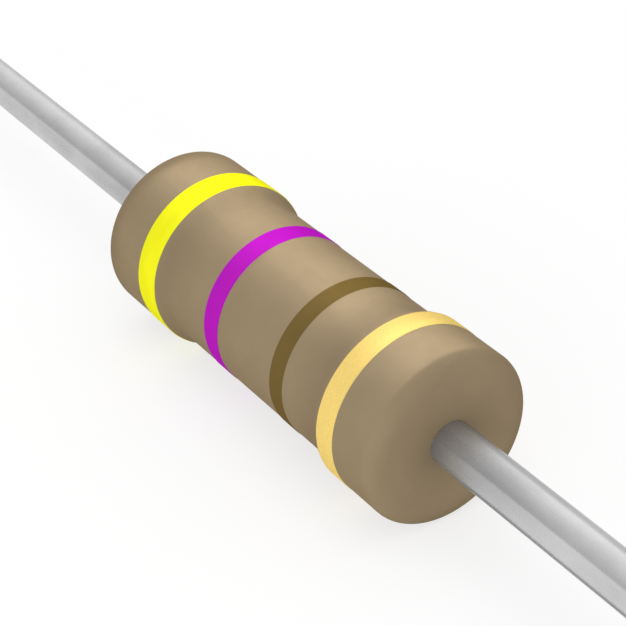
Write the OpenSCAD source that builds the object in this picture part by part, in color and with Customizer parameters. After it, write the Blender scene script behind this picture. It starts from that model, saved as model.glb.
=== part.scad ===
// Axial film resistor: ceramic rod, trimmed film, pressed caps, welded leads, lacquer and colour bands.
// The leads run along X, the origin is the middle of the body, and the first band is toward -X.

/* [Body] */
// Diameter over the bulges at the two ends
bulge_d = 2.4; // [2.2:0.05:3.2]
// Length of the lacquered body from face to face
body_length = 6.2; // [5.6:0.1:9]
// Depth of the waist below the bulges
waist_depth = 0.1; // [0.04:0.01:0.12]
// Length of the left-hand bulge, from its face to where it starts to fall to the waist
left_bulge = 1.28; // [1:0.02:1.5]
// Length of the right-hand bulge, from its face to where it starts to fall to the waist
right_bulge = 1.06; // [1:0.02:1.5]
// Radius of the convex shoulder between bulge and waist
shoulder_r = 0.15; // [0.1:0.01:0.3]
// Radius of the fillet where the shoulder meets the waist
waist_fillet_r = 0.5; // [0.2:0.05:0.8]
// Radius of the rim at each end of the body
rim_r = 0.14; // [0.05:0.01:0.3]

/* [Lacquer] */
// Thickness of the lacquer over the caps
coat_side = 0.17; // [0.1:0.01:0.3]
// Thickness of the lacquer over the closed end of each cap
coat_end = 0.3; // [0.2:0.02:0.5]

/* [Caps] */
// Length of a cap from mouth to closed end
cap_length = 0.95; // [0.7:0.05:1.2]
// Thickness of the sheet that the caps are pressed from
cap_wall = 0.15; // [0.1:0.01:0.22]
// Outer radius of the bend between the side and the closed end of a cap
cap_bend_r = 0.12; // [0.05:0.01:0.25]
// How far the weld nugget spreads past the lead where it meets the cap
weld_spread = 0.12; // [0.05:0.01:0.25]
// Height of the weld nugget between the cap and the lead
weld_height = 0.18; // [0.05:0.01:0.19]

/* [Film] */
// Thickness of the resistive film
film_t = 0.03; // [0.01:0.005:0.06]
// Turns of the trim groove in the film
trim_turns = 4; // [2:1:7]
// Width of the trim groove along the rod
trim_width = 0.15; // [0.08:0.01:0.3]
// Uncut film between the mouth of a cap and the trim groove
trim_margin = 0.4; // [0.1:0.05:0.6]

/* [Leads] */
// Diameter of the lead wire
lead_d = 0.6; // [0.45:0.05:0.8]
// Length of each lead outside the body
lead_length = 28; // [10:1:40]
// Chamfer at the cut end of a lead
lead_chamfer = 0.06; // [0.02:0.01:0.15]

/* [Bands] */
// Thickness of the band paint
band_t = 0.008; // [0.005:0.001:0.03]
// Distance from the left face of the body to the middle of the first band
first_inset = 1.09; // [0.6:0.01:1.3]
// Width of the first band
first_width = 0.42; // [0.2:0.02:0.6]
// Place of the second band along X
second_x = -0.53; // [-0.8:0.01:-0.2]
// Width of the second band
second_width = 0.33; // [0.2:0.01:0.5]
// Place of the multiplier band along X
multiplier_x = 0.99; // [0.4:0.01:1.2]
// Width of the multiplier band
multiplier_width = 0.28; // [0.2:0.01:0.4]
// Distance from the right face of the body to the middle of the tolerance band
tolerance_inset = 0.91; // [0.6:0.01:1.2]
// Width of the tolerance band
tolerance_width = 0.33; // [0.2:0.01:0.5]
// Colour of the first digit
first_color = "yellow"; // [black, brown, red, orange, yellow, green, blue, violet, gray, white]
// Colour of the second digit
second_color = "violet"; // [black, brown, red, orange, yellow, green, blue, violet, gray, white]
// Colour of the multiplier
multiplier_color = "brown"; // [black, brown, red, orange, yellow, green, blue, violet, gray, white]
// Colour of the tolerance
tolerance_color = "gold"; // [gold, silver, brown, red]

/* [Hidden] */
$fn = 96;
// How far a cutting shape runs past what it cuts
overrun = 0.1;
// Flat steps in one turn of the trim groove
trim_steps = 24;
// Largest angle between neighbouring points of the trim groove's section
trim_point_angle = 20;

// Outer form of the body, with the length in which a bulge falls to the waist
bulge_r = bulge_d / 2;
waist_r = bulge_r - waist_depth;
body_half = body_length / 2;
shoulder_turn = acos(1 - waist_depth / (shoulder_r + waist_fillet_r));
shoulder_span = (shoulder_r + waist_fillet_r) * sin(shoulder_turn);

// Pieces inside the lacquer, from the outside in
cap_r = bulge_r - coat_side;
film_r = cap_r - cap_wall;
core_r = film_r - film_t;
cap_end = body_half - coat_end;
core_half = cap_end - cap_wall;
mouth = cap_end - cap_length;
lead_r = lead_d / 2;
lead_root = cap_end + weld_height;
lead_tip = body_half + lead_length;

// Trim groove
trim_half = mouth - trim_margin;
trim_length = 2 * trim_half;
trim_angle = 360 * trim_turns * trim_width / trim_length;

// Paints of the colour code, by name
code_paints = [
    ["black", "#202020"], ["brown", "#705a32"], ["red", "#c81e1e"], ["orange", "#f08214"],
    ["yellow", "#fff01e"], ["green", "#1e8c3c"], ["blue", "#1e46c8"], ["violet", "#be1ec8"],
    ["gray", "#828282"], ["white", "#f0f0f0"], ["gold", "#f5d26e"], ["silver", "#bebec8"]];

function paint(name) = [for (entry = code_paints) if (entry[0] == name) entry[1]][0];

// Turns a section drawn as [radius, place along X] about the X axis
module revolve() {
    rotate([0, 90, 0]) rotate_extrude() children();
}

// Rectangle of a section from the axis out to a radius, between two places along X
module drum(radius, from, to) {
    translate([0, from]) square([radius, to - from]);
}

// Section of a bulge at the right, with its shoulder and rim and with its surface moved out by a growth
module bulge_section(bulge_length, growth) {
    bulge_start = body_half - bulge_length;
    waist_end = bulge_start - shoulder_span;
    fillet = waist_fillet_r - growth;
    meet = waist_end + fillet * sin(shoulder_turn);
    meet_r = waist_r + waist_fillet_r - fillet * cos(shoulder_turn);
    drum(bulge_r + growth, bulge_start, body_half - rim_r);
    drum(bulge_r - rim_r, bulge_start, body_half + growth);
    translate([bulge_r - rim_r, body_half - rim_r]) circle(rim_r + growth);
    intersection() {
        translate([bulge_r - shoulder_r, bulge_start]) circle(shoulder_r + growth);
        drum(bulge_r + growth, meet, body_half - rim_r);
    }
    difference() {
        drum(meet_r, waist_end, bulge_start);
        translate([waist_r + waist_fillet_r, waist_end]) circle(fillet);
    }
}

// Section of the whole body
module body_section(growth = 0) {
    drum(waist_r + growth, left_bulge - body_half, body_half - right_bulge);
    bulge_section(right_bulge, growth);
    mirror([0, 1]) bulge_section(left_bulge, growth);
}

// Section of the right-hand cap with the weld nugget that its lead is butted on
module cap_section() {
    difference() {
        union() {
            drum(cap_r, mouth, cap_end - cap_bend_r);
            drum(cap_r - cap_bend_r, mouth, cap_end);
            translate([cap_r - cap_bend_r, cap_end - cap_bend_r]) circle(cap_bend_r);
        }
        drum(film_r, mouth - overrun, core_half);
    }
    polygon([[0, cap_end], [lead_r + weld_spread, cap_end], [lead_r, lead_root], [0, lead_root]]);
}

// Ring of paint that follows the surface of the body between two places along X
module paint_ring(middle, width) {
    revolve() difference() {
        intersection() {
            body_section(band_t);
            drum(bulge_d, middle - width / 2, middle + width / 2);
        }
        body_section();
    }
}

// Section of the trim groove: a sector of a ring, wide enough to cut through the film
module trim_sector() {
    steps = ceil(trim_angle / trim_point_angle);
    angles = [for (i = [0:steps]) trim_angle * (i / steps - 1 / 2)];
    outer = film_r / cos(trim_angle / steps / 2) + overrun;
    inner = core_r - overrun;
    polygon(concat([for (a = angles) outer * [cos(a), sin(a)]],
                   [for (i = [steps:-1:0]) inner * [cos(angles[i]), sin(angles[i])]]));
}

// Helix that the trim wheel cuts
module trim_cut() {
    rotate([0, 90, 0]) translate([0, 0, -trim_half])
        linear_extrude(height = trim_length, twist = 360 * trim_turns, slices = trim_turns * trim_steps,
                       segments = 1)
            trim_sector();
}

module core_rod() {
    color("#f2efe6") revolve() drum(core_r, -core_half, core_half);
}

module carbon_film() {
    color("#2a2a2c") difference() {
        revolve() difference() {
            drum(film_r, -core_half, core_half);
            drum(core_r, -core_half - overrun, core_half + overrun);
        }
        trim_cut();
    }
}

module cap_right() {
    color("#c8c8c4") revolve() cap_section();
}

module cap_left() {
    mirror([1, 0, 0]) cap_right();
}

module lead_right() {
    color("#c4c4c6") revolve()
        polygon([[0, lead_root], [lead_r, lead_root], [lead_r, lead_tip - lead_chamfer],
                 [lead_r - lead_chamfer, lead_tip], [0, lead_tip]]);
}

module lead_left() {
    mirror([1, 0, 0]) lead_right();
}

// The lacquer fills all the room in the body that the inner pieces leave, trim groove included
module coating() {
    color("#a8906c") difference() {
        revolve() body_section();
        core_rod();
        carbon_film();
        cap_left();
        cap_right();
        lead_left();
        lead_right();
    }
}

module band_first() {
    color(paint(first_color)) paint_ring(first_inset - body_half, first_width);
}

module band_second() {
    color(paint(second_color)) paint_ring(second_x, second_width);
}

module band_multiplier() {
    color(paint(multiplier_color)) paint_ring(multiplier_x, multiplier_width);
}

module band_tolerance() {
    color(paint(tolerance_color)) paint_ring(body_half - tolerance_inset, tolerance_width);
}

core_rod();
carbon_film();
cap_left();
cap_right();
lead_left();
lead_right();
coating();
band_first();
band_second();
band_multiplier();
band_tolerance();
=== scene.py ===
import math

import bmesh
import bpy
import numpy as np
from mathutils import Color, Matrix, Vector


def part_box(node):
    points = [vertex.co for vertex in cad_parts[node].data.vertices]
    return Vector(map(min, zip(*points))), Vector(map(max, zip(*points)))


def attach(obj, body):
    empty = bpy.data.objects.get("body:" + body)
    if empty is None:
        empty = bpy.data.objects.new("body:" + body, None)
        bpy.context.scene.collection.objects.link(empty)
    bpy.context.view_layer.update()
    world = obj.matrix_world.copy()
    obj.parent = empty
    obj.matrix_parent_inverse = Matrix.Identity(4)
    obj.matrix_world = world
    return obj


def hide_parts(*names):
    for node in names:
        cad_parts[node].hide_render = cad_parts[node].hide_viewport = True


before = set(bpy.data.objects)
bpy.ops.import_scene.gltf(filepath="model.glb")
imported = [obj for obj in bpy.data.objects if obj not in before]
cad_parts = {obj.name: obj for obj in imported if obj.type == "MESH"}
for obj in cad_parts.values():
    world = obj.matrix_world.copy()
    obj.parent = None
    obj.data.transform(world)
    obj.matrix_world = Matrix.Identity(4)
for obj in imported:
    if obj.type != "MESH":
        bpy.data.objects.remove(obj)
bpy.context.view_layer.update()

MM = 0.001
QUARTER = math.pi / 2
BODY = "root"

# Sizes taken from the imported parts
BODY_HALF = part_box("coating")[1].x
BULGE_R = -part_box("coating")[0].z
BAND_T = -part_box("band_tolerance")[0].z - BULGE_R
WAIST_R = -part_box("band_second")[0].z - BAND_T
CAP_R = -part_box("cap_right")[0].z
FILM_R = -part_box("carbon_film")[0].z
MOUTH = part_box("cap_right")[0].x
LEAD_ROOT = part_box("cap_right")[1].x
CAP_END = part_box("core_rod")[1].x + CAP_R - FILM_R
LEAD_R = -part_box("lead_right")[0].z
LEAD_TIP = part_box("lead_right")[1].x

# Sizes of the rounded forms
LEFT_BULGE = 1.28 * MM
RIGHT_BULGE = 1.06 * MM
SHOULDER_R = 0.15 * MM
FILLET_R = 0.5 * MM
RIM_R = 0.14 * MM
CAP_BEND_R = 0.12 * MM
WELD_SPREAD = 0.12 * MM
LEAD_CHAMFER = 0.06 * MM
BAND_EDGE = 0.02 * MM
SHOULDER_TURN = math.acos(1 - (BULGE_R - WAIST_R) / (SHOULDER_R + FILLET_R))
SHOULDER_SPAN = (SHOULDER_R + FILLET_R) * math.sin(SHOULDER_TURN)
LEFT_SHOULDER = LEFT_BULGE + SHOULDER_SPAN / 2 - BODY_HALF
RIGHT_SHOULDER = BODY_HALF - RIGHT_BULGE - SHOULDER_SPAN / 2

# How far to each side the shading is softened, at the rear end, shoulders, front rim and front face
REAR_REACH = 0.24 * MM
SHOULDER_REACH = 0.4 * MM
RIM_REACH = 0.06 * MM
FACE_REACH = 0.2 * MM

# Fineness of the turned meshes
BODY_SEGMENTS = 256
LEAD_SEGMENTS = 128
ARC_STEPS = 14
STRAIGHT_STEPS = 12
EDGE_STEPS = 5
SHARP_ANGLE = math.radians(40)

# Camera of the photograph
CAMERA_AZIMUTH = 55.512
CAMERA_ELEVATION = 32.769
CAMERA_DISTANCE = 24.381 * MM
CAMERA_RIGHT = 0.120 * MM
CAMERA_UP = 0.1545 * MM
CAMERA_LENS = 107.29
CAMERA_NEAR = 0.1 * MM
CAMERA_FAR = 10.0

# Grain of the finishes: the size of their clouds and marks, and the depth of their relief
LACQUER_CLOUD = 0.6 * MM
PAINT_CLOUD = (0.2 * MM, 0.7 * MM, 0.7 * MM)
FLAKE = 0.016 * MM
PEEL = 0.14 * MM
DRAWN_LINE = (6 * MM, 0.07 * MM, 0.07 * MM)
TIN_CLOUD = (0.8 * MM, 0.4 * MM, 0.4 * MM)
FINE_GRAIN = 0.12 * MM
LACQUER_RELIEF = 0.0012 * MM
PAINT_RELIEF = 0.001 * MM
WIRE_RELIEF = 0.0005 * MM
NOISE_REACH = (0.3, 0.7)
SOFT_DETAIL = 3.0
FINE_DETAIL = 4.0

# Colours of the finishes in steps of 255, with the darkest and the lightest shade where they vary
SCREEN_STEPS = 255
TAN = (146, 129, 103)
YELLOW = (229, 227, 35)
VIOLET = (172, 31, 175)
BROWN = (109, 90, 51)
GOLD = (226, 196, 112), (232, 203, 119)
TIN = (190, 190, 191), (204, 204, 205)
STEEL = (186, 186, 182), (206, 206, 202)
CERAMIC = (232, 229, 220), (246, 244, 238)
CARBON = (34, 34, 36), (52, 52, 54)

# How the finishes take the light, with the least and the greatest roughness
GOLD_ROUGH = (0.45, 0.55)
TIN_ROUGH = (0.24, 0.3)
STEEL_ROUGH = (0.3, 0.45)
CERAMIC_ROUGH = (0.6, 0.8)
CARBON_ROUGH = (0.35, 0.5)
SATIN_ROUGH = (0.51, 0.59)
LACQUER_SHEEN_SHARE = 0.4
PAINT_SHEEN_SHARE = 0.3
GOLD_SHEEN_SHARE = 0.24
EDGE_SHARE = 0.2
METAL_SHARE = 0.75
STRETCH_SHARE = 0.88
STRETCH_TURN_SHARE = 0.25
TIN_EDGE_SHARE = 0.1
CLOUD_SHARE = 0.035

# Painted shade on the lacquer and the tin: how far it reaches, and by what share it darkens
PAINTED_SHADE_REACH = 0.6 * MM
PAINTED_SHADE_EDGE = 0.37 * MM
ROOT_PAINTED_SHADE_REACH = 0.48 * MM
WIRE_PAINTED_SHADE_REACHES = (0, 0.35 * MM, 2.6 * MM)
REAR_PAINTED_SHADE_SHARE = 0.08
LEFT_SHOULDER_PAINTED_SHADE_SHARE = 0.1
RIGHT_SHOULDER_PAINTED_SHADE_SHARE = 0.15
ROOT_PAINTED_SHADE_SHARE = 0.14
REAR_WIRE_PAINTED_SHADE_SHARES = (0.4, 0.26, 0.1)
FRONT_WIRE_PAINTED_SHADE_SHARES = (0.4, 0.26, 0)

# Floor and surroundings
FLOOR_HALF = 4.0
FLOOR_WHITE = 0.95
FLOOR_WHITE_SHARE = 0.7
WORLD_LIGHT = 0.84

# Lamps, with directions and breadths in degrees
SOFTBOX_LENGTH = 18 * MM
SOFTBOX_HEIGHT = 190 * MM
SOFTBOX_DISTANCE = 120 * MM
SOFTBOX_AZIMUTH = 244.5
SOFTBOX_ELEVATION = 46.6
SOFTBOX_ENERGY = 0.2
FILL_AZIMUTH = 20
FILL_ELEVATION = 4
FILL_ANGLE = 50
FILL_ENERGY = 1.95
OVERHEAD_ELEVATION = 90
OVERHEAD_ANGLE = 60
OVERHEAD_ENERGY = 0.55
SUN_DISTANCE = 60 * MM

# Cards that only reflections show, with their turn about the X axis from +Y in degrees
STRIP_DISTANCE = 60 * MM
STRIP_LEFT = -400 * MM
STRIP_RIGHT = 100 * MM
SCREEN_STRIPS = 18
SCREEN_TURNS = (30, 157)
SCREEN_LEVELS = (1.72, 0.53)
SCREEN_POWER = 1.2
FLAG_HALF = 6 * MM
FLAG_TURN = 0
FLAG_LEVEL = 0.42
LOW_FLAG_HALF = 0.12 * MM
LOW_FLAG_TURN = 236
LOW_FLAG_DISTANCE = 0.5 * MM
LOW_FLAG_LEVEL = 0.25
LOW_FLAG_GAP = 0.25 * MM


# Shapes


def steps(first, last, count):
    """Values from first to last in equal steps, both ends included."""
    return [first + (last - first) * i / count for i in range(count + 1)]


def arc(centre, radius, first, last):
    """Points of an arc as (place along X, distance from the axis), with angles from +X."""
    turns = steps(first, last, ARC_STEPS)
    return [(centre[0] + radius * math.cos(t), centre[1] + radius * math.sin(t)) for t in turns]


def mirrored(points):
    """Points given as (place along X, value), on the other side of the middle and in reverse."""
    return [(-x, value) for x, value in reversed(points)]


def outer_outline(bulge_length):
    """Outline of the body from its middle to the lead on the right, for a bulge of that length."""
    bulge_start = BODY_HALF - bulge_length
    waist_end = bulge_start - SHOULDER_SPAN
    fillet = (waist_end, WAIST_R + FILLET_R)
    shoulder = (bulge_start, BULGE_R - SHOULDER_R)
    rim = (BODY_HALF - RIM_R, BULGE_R - RIM_R)
    points = [(x, WAIST_R) for x in steps(0, waist_end, STRAIGHT_STEPS)]
    points += arc(fillet, FILLET_R, -QUARTER, SHOULDER_TURN - QUARTER)[1:]
    points += arc(shoulder, SHOULDER_R, QUARTER + SHOULDER_TURN, QUARTER)[1:]
    points += [(x, BULGE_R) for x in steps(bulge_start, rim[0], STRAIGHT_STEPS)[1:]]
    points += arc(rim, RIM_R, QUARTER, 0)[1:]
    points += [(BODY_HALF, r) for r in steps(rim[1], LEAD_R, STRAIGHT_STEPS)[1:]]
    return points


def body_outline():
    """Outline of the whole body from lead to lead."""
    return mirrored(outer_outline(LEFT_BULGE))[:-1] + outer_outline(RIGHT_BULGE)


def inner_outline():
    """Outline of the room inside the lacquer, from the lead on the right to the mouth of its cap."""
    bend = (CAP_END - CAP_BEND_R, CAP_R - CAP_BEND_R)
    points = [(LEAD_ROOT, LEAD_R), (CAP_END, LEAD_R + WELD_SPREAD)]
    points += arc(bend, CAP_BEND_R, 0, QUARTER)
    return points + [(MOUTH, CAP_R), (MOUTH, FILM_R)]


def soft_normals(outline):
    """Normals of the body's outline as (along X, away from the axis), softened as its place asks."""
    places = np.array(outline)
    stops = (-BODY_HALF, LEFT_SHOULDER, RIGHT_SHOULDER, BODY_HALF - RIM_R, BODY_HALF)
    reaches = (REAR_REACH, SHOULDER_REACH, SHOULDER_REACH, RIM_REACH, FACE_REACH)
    reach = np.interp(places[:, 0], stops, reaches)
    run = np.concatenate(([0], np.cumsum(np.hypot(*np.diff(places, axis=0).T))))
    ahead, behind = run + reach, run - reach
    along, away = [np.interp(ahead, run, p) - np.interp(behind, run, p) for p in places.T]
    return np.column_stack((-away, along)) / np.hypot(along, away)[:, None]


def turned(name, outline, segments, normals=()):
    """Closed mesh turned about the X axis from an outline that ends on the axis or closes on itself.

    Normals, where given, shade the first points of the outline.
    """
    bm = bmesh.new()
    turns = [2 * math.pi * k / segments for k in range(segments)]
    rings = []
    for x, r in outline:
        if r == 0:
            rings.append([bm.verts.new((x, 0, 0))] * segments)
        else:
            rings.append([bm.verts.new((x, r * math.sin(t), r * math.cos(t))) for t in turns])
    if outline[0][1] > 0:
        rings.append(rings[0])
    for ring, following in zip(rings, rings[1:]):
        for k in range(segments):
            after = (k + 1) % segments
            corners = (ring[k], ring[after], following[after], following[k])
            # On the axis two corners are one
            bm.faces.new(list(dict.fromkeys(corners)))
    bmesh.ops.recalc_face_normals(bm, faces=bm.faces)
    mesh = bpy.data.meshes.new(name)
    bm.to_mesh(mesh)
    bm.free()
    mesh.shade_smooth()
    mesh.set_sharp_from_angle(angle=SHARP_ANGLE)
    if len(normals):
        # A normal of zero length leaves the mesh's own
        unshaded = np.zeros((len(outline) - len(normals), 2))
        shading = [(along, away * math.sin(t), away * math.cos(t))
                   for along, away in np.vstack((normals, unshaded)) for t in turns]
        mesh.normals_split_custom_set_from_vertices(shading)
    piece = bpy.data.objects.new(name, mesh)
    bpy.context.scene.collection.objects.link(piece)
    return piece


def coating_piece():
    """Lacquer shell with the room for the parts inside it."""
    outside, inside = body_outline(), inner_outline()
    outline = outside + inside + mirrored(inside)
    return turned("lacquer_shell", outline, BODY_SEGMENTS, soft_normals(outside))


def band_piece(name, node):
    """Ring of paint that follows the lacquer, with edges that thin out."""
    low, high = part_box(node)[0].x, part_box(node)[1].x
    turns = steps(0, QUARTER, EDGE_STEPS)
    rising = [(low + BAND_EDGE * (1 - math.cos(t)), BAND_T * math.sin(t)) for t in turns]
    falling = [(low + high - x, height) for x, height in reversed(rising)]
    flat = [(x, BAND_T) for x in steps(rising[-1][0], falling[0][0], STRAIGHT_STEPS)[1:-1]]
    x, height = np.array(rising + flat + falling).T
    lacquer = body_outline()
    lacquer_x, lacquer_r = np.array(lacquer).T
    radius = np.interp(x, lacquer_x, lacquer_r)
    normals = np.column_stack([np.interp(x, lacquer_x, n) for n in soft_normals(lacquer).T])
    outside = list(zip(x, radius + height))
    inside = list(zip(x, radius))[-2:0:-1]
    return turned(name, outside + inside, BODY_SEGMENTS, normals)


def lead_piece(name, side):
    """Drawn wire from its weld to its cut end, toward +X for a side of 1 and -X for a side of -1."""
    outline = [(LEAD_ROOT, 0)]
    outline += [(x, LEAD_R) for x in steps(LEAD_ROOT, LEAD_TIP - LEAD_CHAMFER, STRAIGHT_STEPS)]
    outline += [(LEAD_TIP, LEAD_R - LEAD_CHAMFER), (LEAD_TIP, 0)]
    return turned(name, [(side * x, r) for x, r in outline], LEAD_SEGMENTS)


# Finishes


def linear(colour):
    """Linear colour of a screen colour."""
    return Color([c / SCREEN_STEPS for c in colour]).from_srgb_to_scene_linear()


def shaded(colour, share):
    """A linear colour made lighter or darker by a share of itself."""
    return [min(1.0, c * (1 + share)) for c in colour]


def grey(level):
    """Opaque linear grey of a level."""
    return (level, level, level, 1)


def even(size):
    """The same size along X, Y and Z."""
    return (size, size, size)


def new_material(name):
    """Material that holds only a principled shader, as (material, node tree)."""
    material = bpy.data.materials.new(name)
    material.use_nodes = True
    tree = material.node_tree
    tree.nodes.clear()
    shader = tree.nodes.new("ShaderNodeBsdfPrincipled")
    output = tree.nodes.new("ShaderNodeOutputMaterial")
    tree.links.new(shader.outputs["BSDF"], output.inputs["Surface"])
    return material, tree


def shader_inputs(tree):
    """Inputs of a material's principled shader."""
    return tree.nodes["Principled BSDF"].inputs


def placed(tree, texture, cell):
    """Lays a texture over the object, with cells of a size along X, Y and Z."""
    place = tree.nodes.new("ShaderNodeTexCoord")
    mapping = tree.nodes.new("ShaderNodeMapping")
    mapping.inputs["Scale"].default_value = [1 / size for size in cell]
    texture.inputs["Scale"].default_value = 1.0
    tree.links.new(place.outputs["Object"], mapping.inputs["Vector"])
    tree.links.new(mapping.outputs["Vector"], texture.inputs["Vector"])


def noise(tree, cell, detail=SOFT_DETAIL):
    """Cloudy noise, as a number that mostly stays within NOISE_REACH."""
    texture = tree.nodes.new("ShaderNodeTexNoise")
    texture.inputs["Detail"].default_value = detail
    placed(tree, texture, cell)
    return texture.outputs["Fac"]


def flakes(tree, cell):
    """A number from 0 to 1 that is different for each flake."""
    texture = tree.nodes.new("ShaderNodeTexVoronoi")
    placed(tree, texture, cell)
    parts = tree.nodes.new("ShaderNodeSeparateColor")
    tree.links.new(texture.outputs["Color"], parts.inputs["Color"])
    return parts.outputs["Red"]


def colour_by(tree, value, shades):
    """Takes a material's colour from the first shade to the second as the value rises."""
    ramp = tree.nodes.new("ShaderNodeValToRGB")
    for element, position, colour in zip(ramp.color_ramp.elements, NOISE_REACH, shades):
        element.position = position
        element.color = (*colour, 1)
    tree.links.new(value, ramp.inputs["Fac"])
    tree.links.new(ramp.outputs["Color"], shader_inputs(tree)["Base Color"])


def roughen_by(tree, value, rough):
    """Takes a material's roughness from the first level to the second as the value rises."""
    reach = tree.nodes.new("ShaderNodeMapRange")
    reach.inputs["From Min"].default_value, reach.inputs["From Max"].default_value = NOISE_REACH
    reach.inputs["To Min"].default_value, reach.inputs["To Max"].default_value = rough
    tree.links.new(value, reach.inputs["Value"])
    tree.links.new(reach.outputs["Result"], shader_inputs(tree)["Roughness"])


def place_along(tree):
    """Place of a point along the X axis."""
    place = tree.nodes.new("ShaderNodeTexCoord")
    parts = tree.nodes.new("ShaderNodeSeparateXYZ")
    tree.links.new(place.outputs["Object"], parts.inputs["Vector"])
    return parts.outputs["X"]


def distance_away(tree):
    """Distance of a point from the X axis."""
    place = tree.nodes.new("ShaderNodeTexCoord")
    across = tree.nodes.new("ShaderNodeVectorMath")
    across.operation = "MULTIPLY"
    across.inputs[1].default_value = (0, 1, 1)
    length = tree.nodes.new("ShaderNodeVectorMath")
    length.operation = "LENGTH"
    tree.links.new(place.outputs["Object"], across.inputs[0])
    tree.links.new(across.outputs["Vector"], length.inputs[0])
    return length.outputs["Value"]


def paint_shade(tree, value, stops):
    """Paints shade into a material's colour along a value, by shares at rising stops as (value,
    share).
    """
    values, shares = zip(*stops)
    low, high = values[0], values[-1]
    reach = tree.nodes.new("ShaderNodeMapRange")
    reach.inputs["From Min"].default_value = low
    reach.inputs["From Max"].default_value = high
    ramp = tree.nodes.new("ShaderNodeValToRGB")
    elements = ramp.color_ramp.elements
    for inner in values[1:-1]:
        elements.new((inner - low) / (high - low))
    # The ramp keeps its elements in rising order
    for element, share in zip(elements, shares):
        element.color = grey(1 - share)
    product = tree.nodes.new("ShaderNodeVectorMath")
    product.operation = "MULTIPLY"
    base = shader_inputs(tree)["Base Color"]
    tree.links.new(value, reach.inputs["Value"])
    tree.links.new(reach.outputs["Result"], ramp.inputs["Fac"])
    tree.links.new(base.links[0].from_socket, product.inputs[0])
    tree.links.new(ramp.outputs["Color"], product.inputs[1])
    tree.links.new(product.outputs["Vector"], base)


def relief_by(tree, height, depth):
    """Gives a material a relief of that depth."""
    bump = tree.nodes.new("ShaderNodeBump")
    bump.inputs["Distance"].default_value = depth
    tree.links.new(height, bump.inputs["Height"])
    tree.links.new(bump.outputs["Normal"], shader_inputs(tree)["Normal"])


def satin(tree, sheen):
    """Gives a material a satin sheen, which has the paint's own colour and is faint at the edge."""
    inputs = shader_inputs(tree)
    inputs["Metallic"].default_value = sheen
    inputs["Specular IOR Level"].default_value = 0.0
    inputs["Specular Tint"].default_value = grey(EDGE_SHARE)


def stretch_gloss(tree):
    """Draws a material's reflections out along X and keeps them crisp around it."""
    tangent = tree.nodes.new("ShaderNodeTangent")
    tangent.direction_type = "RADIAL"
    tangent.axis = "X"
    inputs = shader_inputs(tree)
    tree.links.new(tangent.outputs["Tangent"], inputs["Tangent"])
    inputs["Anisotropic"].default_value = STRETCH_SHARE
    inputs["Anisotropic Rotation"].default_value = STRETCH_TURN_SHARE


def paint_material(name, colour, sheen=PAINT_SHEEN_SHARE, cell=PAINT_CLOUD, relief=PAINT_RELIEF):
    """Satin paint with faint clouds, an uneven gloss and a fine orange peel."""
    material, tree = new_material(name)
    shades = [shaded(linear(colour), share) for share in (-CLOUD_SHARE, CLOUD_SHARE)]
    peel = noise(tree, even(PEEL))
    colour_by(tree, noise(tree, cell), shades)
    roughen_by(tree, peel, SATIN_ROUGH)
    relief_by(tree, peel, relief)
    satin(tree, sheen)
    return material


def lacquer_material():
    """Tan dipped lacquer, with painted shade at the rear end, in the shoulders and round the leads.
    """
    cloud = even(LACQUER_CLOUD)
    material = paint_material("tan_lacquer", TAN, LACQUER_SHEEN_SHARE, cloud, LACQUER_RELIEF)
    # Painted shade in the concave shoulders and toward the rear end
    left = [(-PAINTED_SHADE_EDGE, 0), (0, LEFT_SHOULDER_PAINTED_SHADE_SHARE), (PAINTED_SHADE_REACH, 0)]
    right = [(-PAINTED_SHADE_REACH, 0), (0, RIGHT_SHOULDER_PAINTED_SHADE_SHARE), (PAINTED_SHADE_EDGE, 0)]
    rear = [(0, REAR_PAINTED_SHADE_SHARE), (PAINTED_SHADE_REACH, 0)]
    stops = [(x - BODY_HALF, share) for x, share in rear]
    stops += [(LEFT_SHOULDER + x, share) for x, share in left]
    stops += [(RIGHT_SHOULDER + x, share) for x, share in right]
    tree = material.node_tree
    paint_shade(tree, place_along(tree), stops)
    # Painted shade on the end faces round the lead roots
    paint_shade(tree, distance_away(tree), [(LEAD_R, ROOT_PAINTED_SHADE_SHARE), (LEAD_R + ROOT_PAINTED_SHADE_REACH, 0)])
    return material


def yellow_material():
    """Yellow band paint."""
    return paint_material("yellow_paint", YELLOW)


def violet_material():
    """Violet band paint."""
    return paint_material("violet_paint", VIOLET)


def brown_material():
    """Brown band paint."""
    return paint_material("brown_paint", BROWN)


def gold_material():
    """Gold band paint with fine metal flakes."""
    material, tree = new_material("gold_paint")
    shade = flakes(tree, even(FLAKE))
    colour_by(tree, shade, [linear(c) for c in GOLD])
    roughen_by(tree, shade, GOLD_ROUGH)
    relief_by(tree, noise(tree, even(PEEL)), PAINT_RELIEF)
    satin(tree, GOLD_SHEEN_SHARE)
    return material


def wire_material():
    """Tinned copper wire with fine drawing lines and a slight haze, and painted shade toward the
    body.
    """
    material, tree = new_material("tinned_wire")
    lines = noise(tree, DRAWN_LINE, FINE_DETAIL)
    colour_by(tree, noise(tree, TIN_CLOUD), [linear(c) for c in TIN])
    roughen_by(tree, lines, TIN_ROUGH)
    relief_by(tree, lines, WIRE_RELIEF)
    stretch_gloss(tree)
    inputs = shader_inputs(tree)
    inputs["Metallic"].default_value = METAL_SHARE
    inputs["Specular IOR Level"].default_value = TIN_EDGE_SHARE
    # Painted shade on the tin, darkest next to the body
    rear = [(BODY_HALF + x, share) for x, share in zip(WIRE_PAINTED_SHADE_REACHES, REAR_WIRE_PAINTED_SHADE_SHARES)]
    front = [(BODY_HALF + x, share) for x, share in zip(WIRE_PAINTED_SHADE_REACHES, FRONT_WIRE_PAINTED_SHADE_SHARES)]
    paint_shade(tree, place_along(tree), mirrored(rear) + front)
    return material


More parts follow.
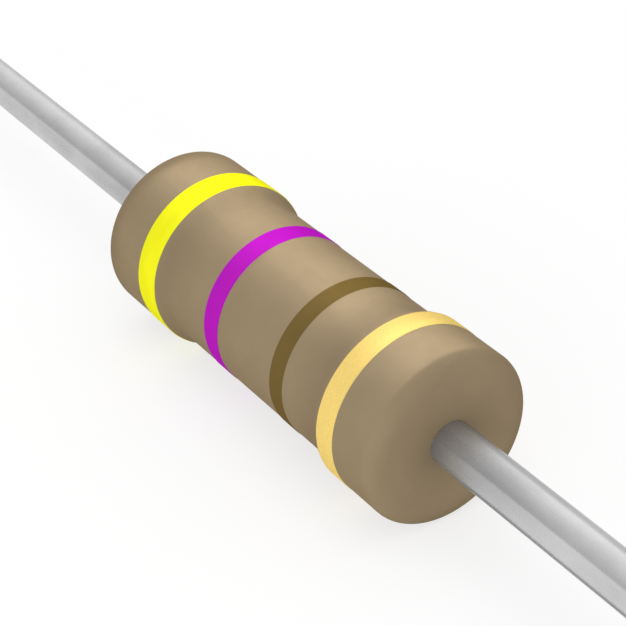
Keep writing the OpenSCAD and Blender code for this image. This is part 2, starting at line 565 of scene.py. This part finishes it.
def grainy_material(name, shades, rough, metallic):
    """Finish of a hidden part, with a fine grain in its colour, gloss and relief."""
    material, tree = new_material(name)
    grain = noise(tree, even(FINE_GRAIN), FINE_DETAIL)
    colour_by(tree, grain, [linear(c) for c in shades])
    roughen_by(tree, grain, rough)
    relief_by(tree, grain, PAINT_RELIEF)
    shader_inputs(tree)["Metallic"].default_value = metallic
    return material


def cap_material():
    """Pressed and tinned steel sheet."""
    return grainy_material("cap_metal", STEEL, STEEL_ROUGH, 1.0)


def ceramic_material():
    """Fired white ceramic."""
    return grainy_material("core_ceramic", CERAMIC, CERAMIC_ROUGH, 0.0)


def carbon_material():
    """Deposited carbon film."""
    return grainy_material("carbon", CARBON, CARBON_ROUGH, 0.0)


# The object


def dress(piece, material, node):
    """Gives a new piece its finish and its body, and hides the part that it stands for."""
    piece.data.materials.append(material)
    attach(piece, BODY)
    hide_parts(node)


def refinish(node, material):
    """Gives a carried-over part a better finish."""
    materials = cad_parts[node].data.materials
    materials.clear()
    materials.append(material)


def build_object():
    """The visible pieces, and the finish of the hidden ones. Returns the two wires."""
    dress(coating_piece(), lacquer_material(), "coating")
    bands = {
        "band_first": ("yellow_paint", yellow_material()),
        "band_second": ("violet_paint", violet_material()),
        "band_multiplier": ("brown_paint", brown_material()),
        "band_tolerance": ("gold_paint", gold_material()),
    }
    for node, (slot, material) in bands.items():
        dress(band_piece(node + "_paint", node), material, node)
    wires = [lead_piece("wire_left", -1), lead_piece("wire_right", 1)]
    tinned = wire_material()
    for wire, node in zip(wires, ("lead_left", "lead_right")):
        dress(wire, tinned, node)
        # Satin paint is too dull to mirror a wire
        wire.visible_glossy = False
    cap = cap_material()
    refinish("cap_left", cap)
    refinish("cap_right", cap)
    refinish("core_rod", ceramic_material())
    refinish("carbon_film", carbon_material())
    return wires


# Camera, surroundings and lights


def direction(azimuth, elevation):
    """Unit vector from the origin toward a viewer, in degrees. An azimuth of 0 looks along +Y."""
    a, e = math.radians(azimuth), math.radians(elevation)
    return Vector((math.sin(a) * math.cos(e), -math.cos(a) * math.cos(e), math.sin(e)))


def add_camera():
    """Camera at the photograph's place."""
    back = direction(CAMERA_AZIMUTH, CAMERA_ELEVATION)
    right = Vector((0, 0, 1)).cross(back).normalized()
    up = back.cross(right)
    data = bpy.data.cameras.new("camera")
    data.lens = CAMERA_LENS
    data.clip_start = CAMERA_NEAR
    data.clip_end = CAMERA_FAR
    camera = bpy.data.objects.new("camera", data)
    eye = back * CAMERA_DISTANCE + right * CAMERA_RIGHT + up * CAMERA_UP
    camera.matrix_world = Matrix.Translation(eye) @ Matrix((right, up, back)).transposed().to_4x4()
    bpy.context.scene.collection.objects.link(camera)
    bpy.context.scene.camera = camera


def background_rays(tree, camera_share):
    """A share for rays from the camera, 1 for rays in a reflection or glass, and 0 for others."""
    path = tree.nodes.new("ShaderNodeLightPath")
    straight = tree.nodes.new("ShaderNodeMath")
    straight.operation = "MULTIPLY"
    straight.inputs[1].default_value = camera_share
    tree.links.new(path.outputs["Is Camera Ray"], straight.inputs[0])
    value = straight.outputs[0]
    for ray in ("Is Glossy Ray", "Is Transmission Ray"):
        either = tree.nodes.new("ShaderNodeMath")
        either.operation = "MAXIMUM"
        tree.links.new(value, either.inputs[0])
        tree.links.new(path.outputs[ray], either.inputs[1])
        value = either.outputs[0]
    return value


def add_world():
    """White surroundings, with a slightly lower level for the light they give."""
    world = bpy.data.worlds.new("studio")
    world.use_nodes = True
    tree = world.node_tree
    background = tree.nodes["Background"]
    background.inputs["Color"].default_value = grey(1)
    level = tree.nodes.new("ShaderNodeMapRange")
    level.inputs["To Min"].default_value = WORLD_LIGHT
    level.inputs["To Max"].default_value = 1.0
    tree.links.new(background_rays(tree, 1), level.inputs["Value"])
    tree.links.new(level.outputs["Result"], background.inputs["Strength"])
    bpy.context.scene.world = world


def flat_card(name, corners):
    """Plain four-cornered stage card with an empty material, as (card, node tree)."""
    mesh = bpy.data.meshes.new(name)
    mesh.from_pydata(corners, [], [(0, 1, 2, 3)])
    card = bpy.data.objects.new(name, mesh)
    bpy.context.scene.collection.objects.link(card)
    material = bpy.data.materials.new(name)
    material.use_nodes = True
    material.node_tree.nodes.clear()
    mesh.materials.append(material)
    return card, material.node_tree


def add_floor():
    """White floor under the body, which keeps a faint shadow of the object."""
    height = -BULGE_R - BAND_T
    signs = ((-1, -1), (1, -1), (1, 1), (-1, 1))
    corners = [(FLOOR_HALF * x, FLOOR_HALF * y, height) for x, y in signs]
    floor, tree = flat_card("floor", corners)
    matt = tree.nodes.new("ShaderNodeBsdfDiffuse")
    matt.inputs["Color"].default_value = grey(FLOOR_WHITE)
    white = tree.nodes.new("ShaderNodeEmission")
    blend = tree.nodes.new("ShaderNodeMixShader")
    output = tree.nodes.new("ShaderNodeOutputMaterial")
    tree.links.new(background_rays(tree, FLOOR_WHITE_SHARE), blend.inputs["Fac"])
    tree.links.new(matt.outputs["BSDF"], blend.inputs[1])
    tree.links.new(white.outputs["Emission"], blend.inputs[2])
    tree.links.new(blend.outputs["Shader"], output.inputs["Surface"])
    return floor


def add_strip(name, turn, half_width, level, distance=STRIP_DISTANCE, left_end=STRIP_LEFT):
    """Long card along the object, at a turn about the X axis. It shows only in reflections."""
    angle = math.radians(turn)
    middle = Vector((0, math.cos(angle), math.sin(angle))) * distance
    across = Vector((0, -math.sin(angle), math.cos(angle))) * half_width
    left, right = Vector((left_end, 0, 0)), Vector((STRIP_RIGHT, 0, 0))
    near, far = middle - across, middle + across
    card, tree = flat_card(name, [near + left, far + left, far + right, near + right])
    glow = tree.nodes.new("ShaderNodeEmission")
    glow.inputs["Strength"].default_value = level
    output = tree.nodes.new("ShaderNodeOutputMaterial")
    tree.links.new(glow.outputs["Emission"], output.inputs["Surface"])
    card.visible_camera = False
    card.visible_diffuse = False
    card.visible_transmission = False
    card.visible_shadow = False


def add_screen():
    """Arch of strips for the wires to mirror, bright at the back and dark at the front."""
    (first_turn, last_turn), (first_level, last_level) = SCREEN_TURNS, SCREEN_LEVELS
    half_step = (last_turn - first_turn) / SCREEN_STRIPS / 2
    half_width = STRIP_DISTANCE * math.tan(math.radians(half_step))
    for i in range(SCREEN_STRIPS):
        share = (i + 0.5) / SCREEN_STRIPS
        turn = first_turn + (last_turn - first_turn) * share
        level = last_level + (first_level - last_level) * (1 - share) ** SCREEN_POWER
        add_strip(f"screen_{i}", turn, half_width, level)


def add_flags():
    """Dark cards for the wires to mirror, one far behind and one close under the front wire."""
    add_strip("flag", FLAG_TURN, FLAG_HALF, FLAG_LEVEL)
    start = BODY_HALF + LOW_FLAG_GAP
    add_strip("low_flag", LOW_FLAG_TURN, LOW_FLAG_HALF, LOW_FLAG_LEVEL, LOW_FLAG_DISTANCE, start)


def add_lamp(data, azimuth, elevation, distance):
    """Lamp pointed at the origin from a direction and a distance, with its X along the object."""
    back = direction(azimuth, elevation)
    along = (Vector((1, 0, 0)) - back * back.x).normalized()
    lamp = bpy.data.objects.new(data.name, data)
    turn = Matrix((along, back.cross(along), back)).transposed().to_4x4()
    lamp.matrix_world = Matrix.Translation(back * distance) @ turn
    lamp.visible_camera = False
    bpy.context.scene.collection.objects.link(lamp)
    return lamp


def link_light(lamp, things, state):
    """Lets a lamp light only some things (a state of INCLUDE) or all but them (EXCLUDE)."""
    linked = bpy.data.collections.new(lamp.name + "_links")
    lamp.light_linking.receiver_collection = linked
    for thing in things:
        linked.objects.link(thing)
    for entry in linked.collection_objects:
        entry.light_linking.link_state = state


def add_softbox(wires):
    """Softbox behind the object for the sheen of the paint. The wires don't mirror it."""
    data = bpy.data.lights.new("softbox", "AREA")
    data.shape = "RECTANGLE"
    data.size = SOFTBOX_LENGTH
    data.size_y = SOFTBOX_HEIGHT
    data.energy = SOFTBOX_ENERGY
    softbox = add_lamp(data, SOFTBOX_AZIMUTH, SOFTBOX_ELEVATION, SOFTBOX_DISTANCE)
    softbox.visible_diffuse = False
    link_light(softbox, wires, "EXCLUDE")


def add_sun(name, energy, breadth, azimuth, elevation):
    """Distant lamp, as broad in the sky as an angle."""
    data = bpy.data.lights.new(name, "SUN")
    data.energy = energy
    data.angle = math.radians(breadth)
    return add_lamp(data, azimuth, elevation, SUN_DISTANCE)


def add_suns(floor):
    """Broad light from the front that makes no highlight, and one from above for the floor alone."""
    fill = add_sun("fill", FILL_ENERGY, FILL_ANGLE, FILL_AZIMUTH, FILL_ELEVATION)
    fill.visible_glossy = False
    overhead = add_sun("overhead", OVERHEAD_ENERGY, OVERHEAD_ANGLE, 0, OVERHEAD_ELEVATION)
    link_light(overhead, [floor], "INCLUDE")


wires = build_object()
add_camera()
add_world()
floor = add_floor()
add_softbox(wires)
add_suns(floor)
add_screen()
add_flags()
bpy.context.scene.view_settings.view_transform = "Standard"
